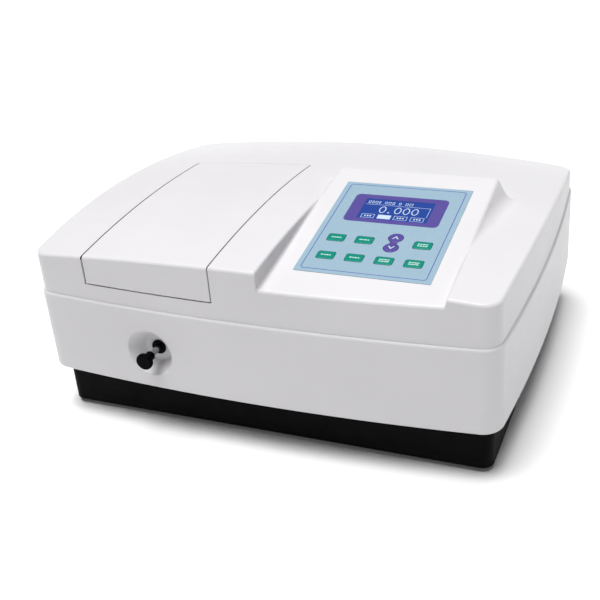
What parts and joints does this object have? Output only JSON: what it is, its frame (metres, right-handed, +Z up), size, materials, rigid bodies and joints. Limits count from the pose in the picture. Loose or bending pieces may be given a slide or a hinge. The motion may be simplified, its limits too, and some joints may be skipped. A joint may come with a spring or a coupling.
{
  "type": "spectrophotometer",
  "caption": "Benchtop spectrophotometer: bowed white case on a black base, crowned top with hinged sample lid, sloping keypad console with display, and a pull-rod cell changer.",
  "frame": {"origin": "on the bench under the centre of the instrument's box, feet down", "axes": "+X to the user's right, +Y to the back, +Z up; the front with the pull knob faces -Y"},
  "size_m": [0.47, 0.4014, 0.2035],
  "materials": {
    "black_plastic": "fine satin grain",
    "foot_rubber": "matt",
    "bright_steel": "bright",
    "white_shell": "satin gloss",
    "white_cover": "satin gloss",
    "sheet_steel": "zinc plated",
    "cast_metal": "as cast",
    "overlay_film": "fine texture",
    "display_pane": "clear over a lit display",
    "lcd_body": "black bezel",
    "circuit_board": "solder resist",
    "green_key_film": "smooth",
    "arrow_key_film": "smooth",
    "black_metal": "black anodised",
    "foam": "closed-cell foam",
    "polished_rod": "polished",
    "knob_plastic": "gloss",
    "optic_glass": "clear",
    "grating_mirror": "ruled",
    "machined_metal": "machined",
    "brass_nut": "machined",
    "motor_black": "black",
    "mirror_face": "polished",
    "ceramic": "unglazed ceramic"
  },
  "bodies": {
    "chassis": {"base_tray": "black_plastic", "rubber_feet": "foot_rubber", "case_screws": "bright_steel", "lower_shell": "white_shell", "upper_cover": "white_cover", "chassis_plate": "sheet_steel", "optical_base": "cast_metal", "keypad_overlay": "overlay_film", "display_window": "display_pane", "lcd_module": "lcd_body", "panel_bracket": "sheet_steel", "keypad_board": "circuit_board", "hinge_brackets": "sheet_steel", "sample_chamber": "black_metal", "chamber_gasket": "foam", "rod_bush": "knob_plastic", "carriage_rails": "polished_rod", "detent_spring": "bright_steel", "beam_lenses": "optic_glass", "mono_housing": "cast_metal", "mono_cover": "black_metal", "wavelength_motor": "motor_black", "entrance_mirror": "mirror_face", "exit_mirror": "mirror_face", "slit_plates": "black_metal", "filter_motor": "bright_steel", "lamp_house": "machined_metal", "halogen_lamp": "optic_glass", "lamp_socket": "ceramic", "source_mirror": "mirror_face", "detector_housing": "black_metal", "detector_board": "circuit_board", "power_supply": "sheet_steel", "main_board": "circuit_board", "fan_frame": "black_plastic", "power_inlet": "black_plastic", "data_port": "bright_steel"},
    "lid": {"sample_lid": "white_cover", "hinge_pins": "bright_steel"},
    "cell_changer": {"pull_rod": "polished_rod", "pull_knob": "knob_plastic", "cell_carriage": "black_metal", "cell_springs": "bright_steel"},
    "rocker": {"power_rocker": "knob_plastic"},
    "fuse_holder": {"fuse_drawer": "knob_plastic"},
    "fan": {"fan_rotor": "black_plastic"},
    "screw": {"lead_screw": "polished_rod"},
    "nut": {"drive_nut": "brass_nut"},
    "grating_arm": {"grating": "grating_mirror", "grating_table": "machined_metal"},
    "filters": {"filter_wheel": "black_metal"},
    "key_a1": {"key_a1": "green_key_film"},
    "key_a2": {"key_a2": "green_key_film"},
    "key_a4": {"key_a4": "green_key_film"},
    "key_b1": {"key_b1": "green_key_film"},
    "key_b2": {"key_b2": "green_key_film"},
    "key_b3": {"key_b3": "green_key_film"},
    "key_b4": {"key_b4": "green_key_film"},
    "key_up": {"key_up": "arrow_key_film"},
    "key_down": {"key_down": "arrow_key_film"}
  },
  "joints": [
    {"name": "lid_hinge", "type": "hinge", "parent": "chassis", "child": "lid", "pos_m": [-0.0972, 0.04637, 0.1792], "axis": [-0.9994, 0, -0.0349], "range_deg": [0, 75]},
    {"name": "cell_slide", "type": "slide", "parent": "chassis", "child": "cell_changer", "axis": [0, -1, 0], "range_m": [0, 0.048]},
    {"name": "rocker_tilt", "type": "hinge", "parent": "chassis", "child": "rocker", "pos_m": [0.17, 0.19692, 0.1025], "axis": [-1, 0, 0], "range_deg": [0, 18]},
    {"name": "fuse_drawer_slide", "type": "slide", "parent": "chassis", "child": "fuse_holder", "axis": [0, 1, 0], "range_m": [0, 0.016]},
    {"name": "fan_spin", "type": "hinge", "parent": "chassis", "child": "fan", "pos_m": [0.055, 0.18357, 0.093], "axis": [0, 1, 0], "continuous": true},
    {"name": "filter_turn", "type": "hinge", "parent": "chassis", "child": "filters", "pos_m": [0.032, 0.06957, 0.087], "axis": [0, 1, 0], "continuous": true},
    {"name": "screw_turn", "type": "hinge", "parent": "chassis", "child": "screw", "pos_m": [0.088, 0.02357, 0.075], "axis": [0, 1, 0], "range_deg": [-4330, 4330]},
    {"name": "nut_slide", "type": "slide", "parent": "chassis", "child": "nut", "axis": [0, 1, 0], "range_m": [-0.012, 0.012]},
    {"name": "grating_turn", "type": "hinge", "parent": "chassis", "child": "grating_arm", "pos_m": [0.005, 0.02857, 0.072], "axis": [0, 0, 1], "range_deg": [-11.1, 11.1]},
    {"name": "key_a1_press", "type": "slide", "parent": "chassis", "child": "key_a1", "axis": [0, 0.1553, -0.9879], "range_m": [0, 0.0004], "stiffness_N_per_m": 1500},
    {"name": "key_a2_press", "type": "slide", "parent": "chassis", "child": "key_a2", "axis": [0, 0.1553, -0.9879], "range_m": [0, 0.0004], "stiffness_N_per_m": 1500},
    {"name": "key_a4_press", "type": "slide", "parent": "chassis", "child": "key_a4", "axis": [0, 0.1553, -0.9879], "range_m": [0, 0.0004], "stiffness_N_per_m": 1500},
    {"name": "key_b1_press", "type": "slide", "parent": "chassis", "child": "key_b1", "axis": [0, 0.1553, -0.9879], "range_m": [0, 0.0004], "stiffness_N_per_m": 1500},
    {"name": "key_b2_press", "type": "slide", "parent": "chassis", "child": "key_b2", "axis": [0, 0.1553, -0.9879], "range_m": [0, 0.0004], "stiffness_N_per_m": 1500},
    {"name": "key_b3_press", "type": "slide", "parent": "chassis", "child": "key_b3", "axis": [0, 0.1553, -0.9879], "range_m": [0, 0.0004], "stiffness_N_per_m": 1500},
    {"name": "key_b4_press", "type": "slide", "parent": "chassis", "child": "key_b4", "axis": [0, 0.1553, -0.9879], "range_m": [0, 0.0004], "stiffness_N_per_m": 1500},
    {"name": "key_up_press", "type": "slide", "parent": "chassis", "child": "key_up", "axis": [0, 0.1553, -0.9879], "range_m": [0, 0.0004], "stiffness_N_per_m": 1500},
    {"name": "key_down_press", "type": "slide", "parent": "chassis", "child": "key_down", "axis": [0, 0.1553, -0.9879], "range_m": [0, 0.0004], "stiffness_N_per_m": 1500}
  ],
  "couplings": [
    {"joint": "screw_turn", "follows": "nut_slide", "rad_per_m": 6283.2},
    {"joint": "grating_turn", "follows": "nut_slide", "rad_per_m": 15.873}
  ]
}
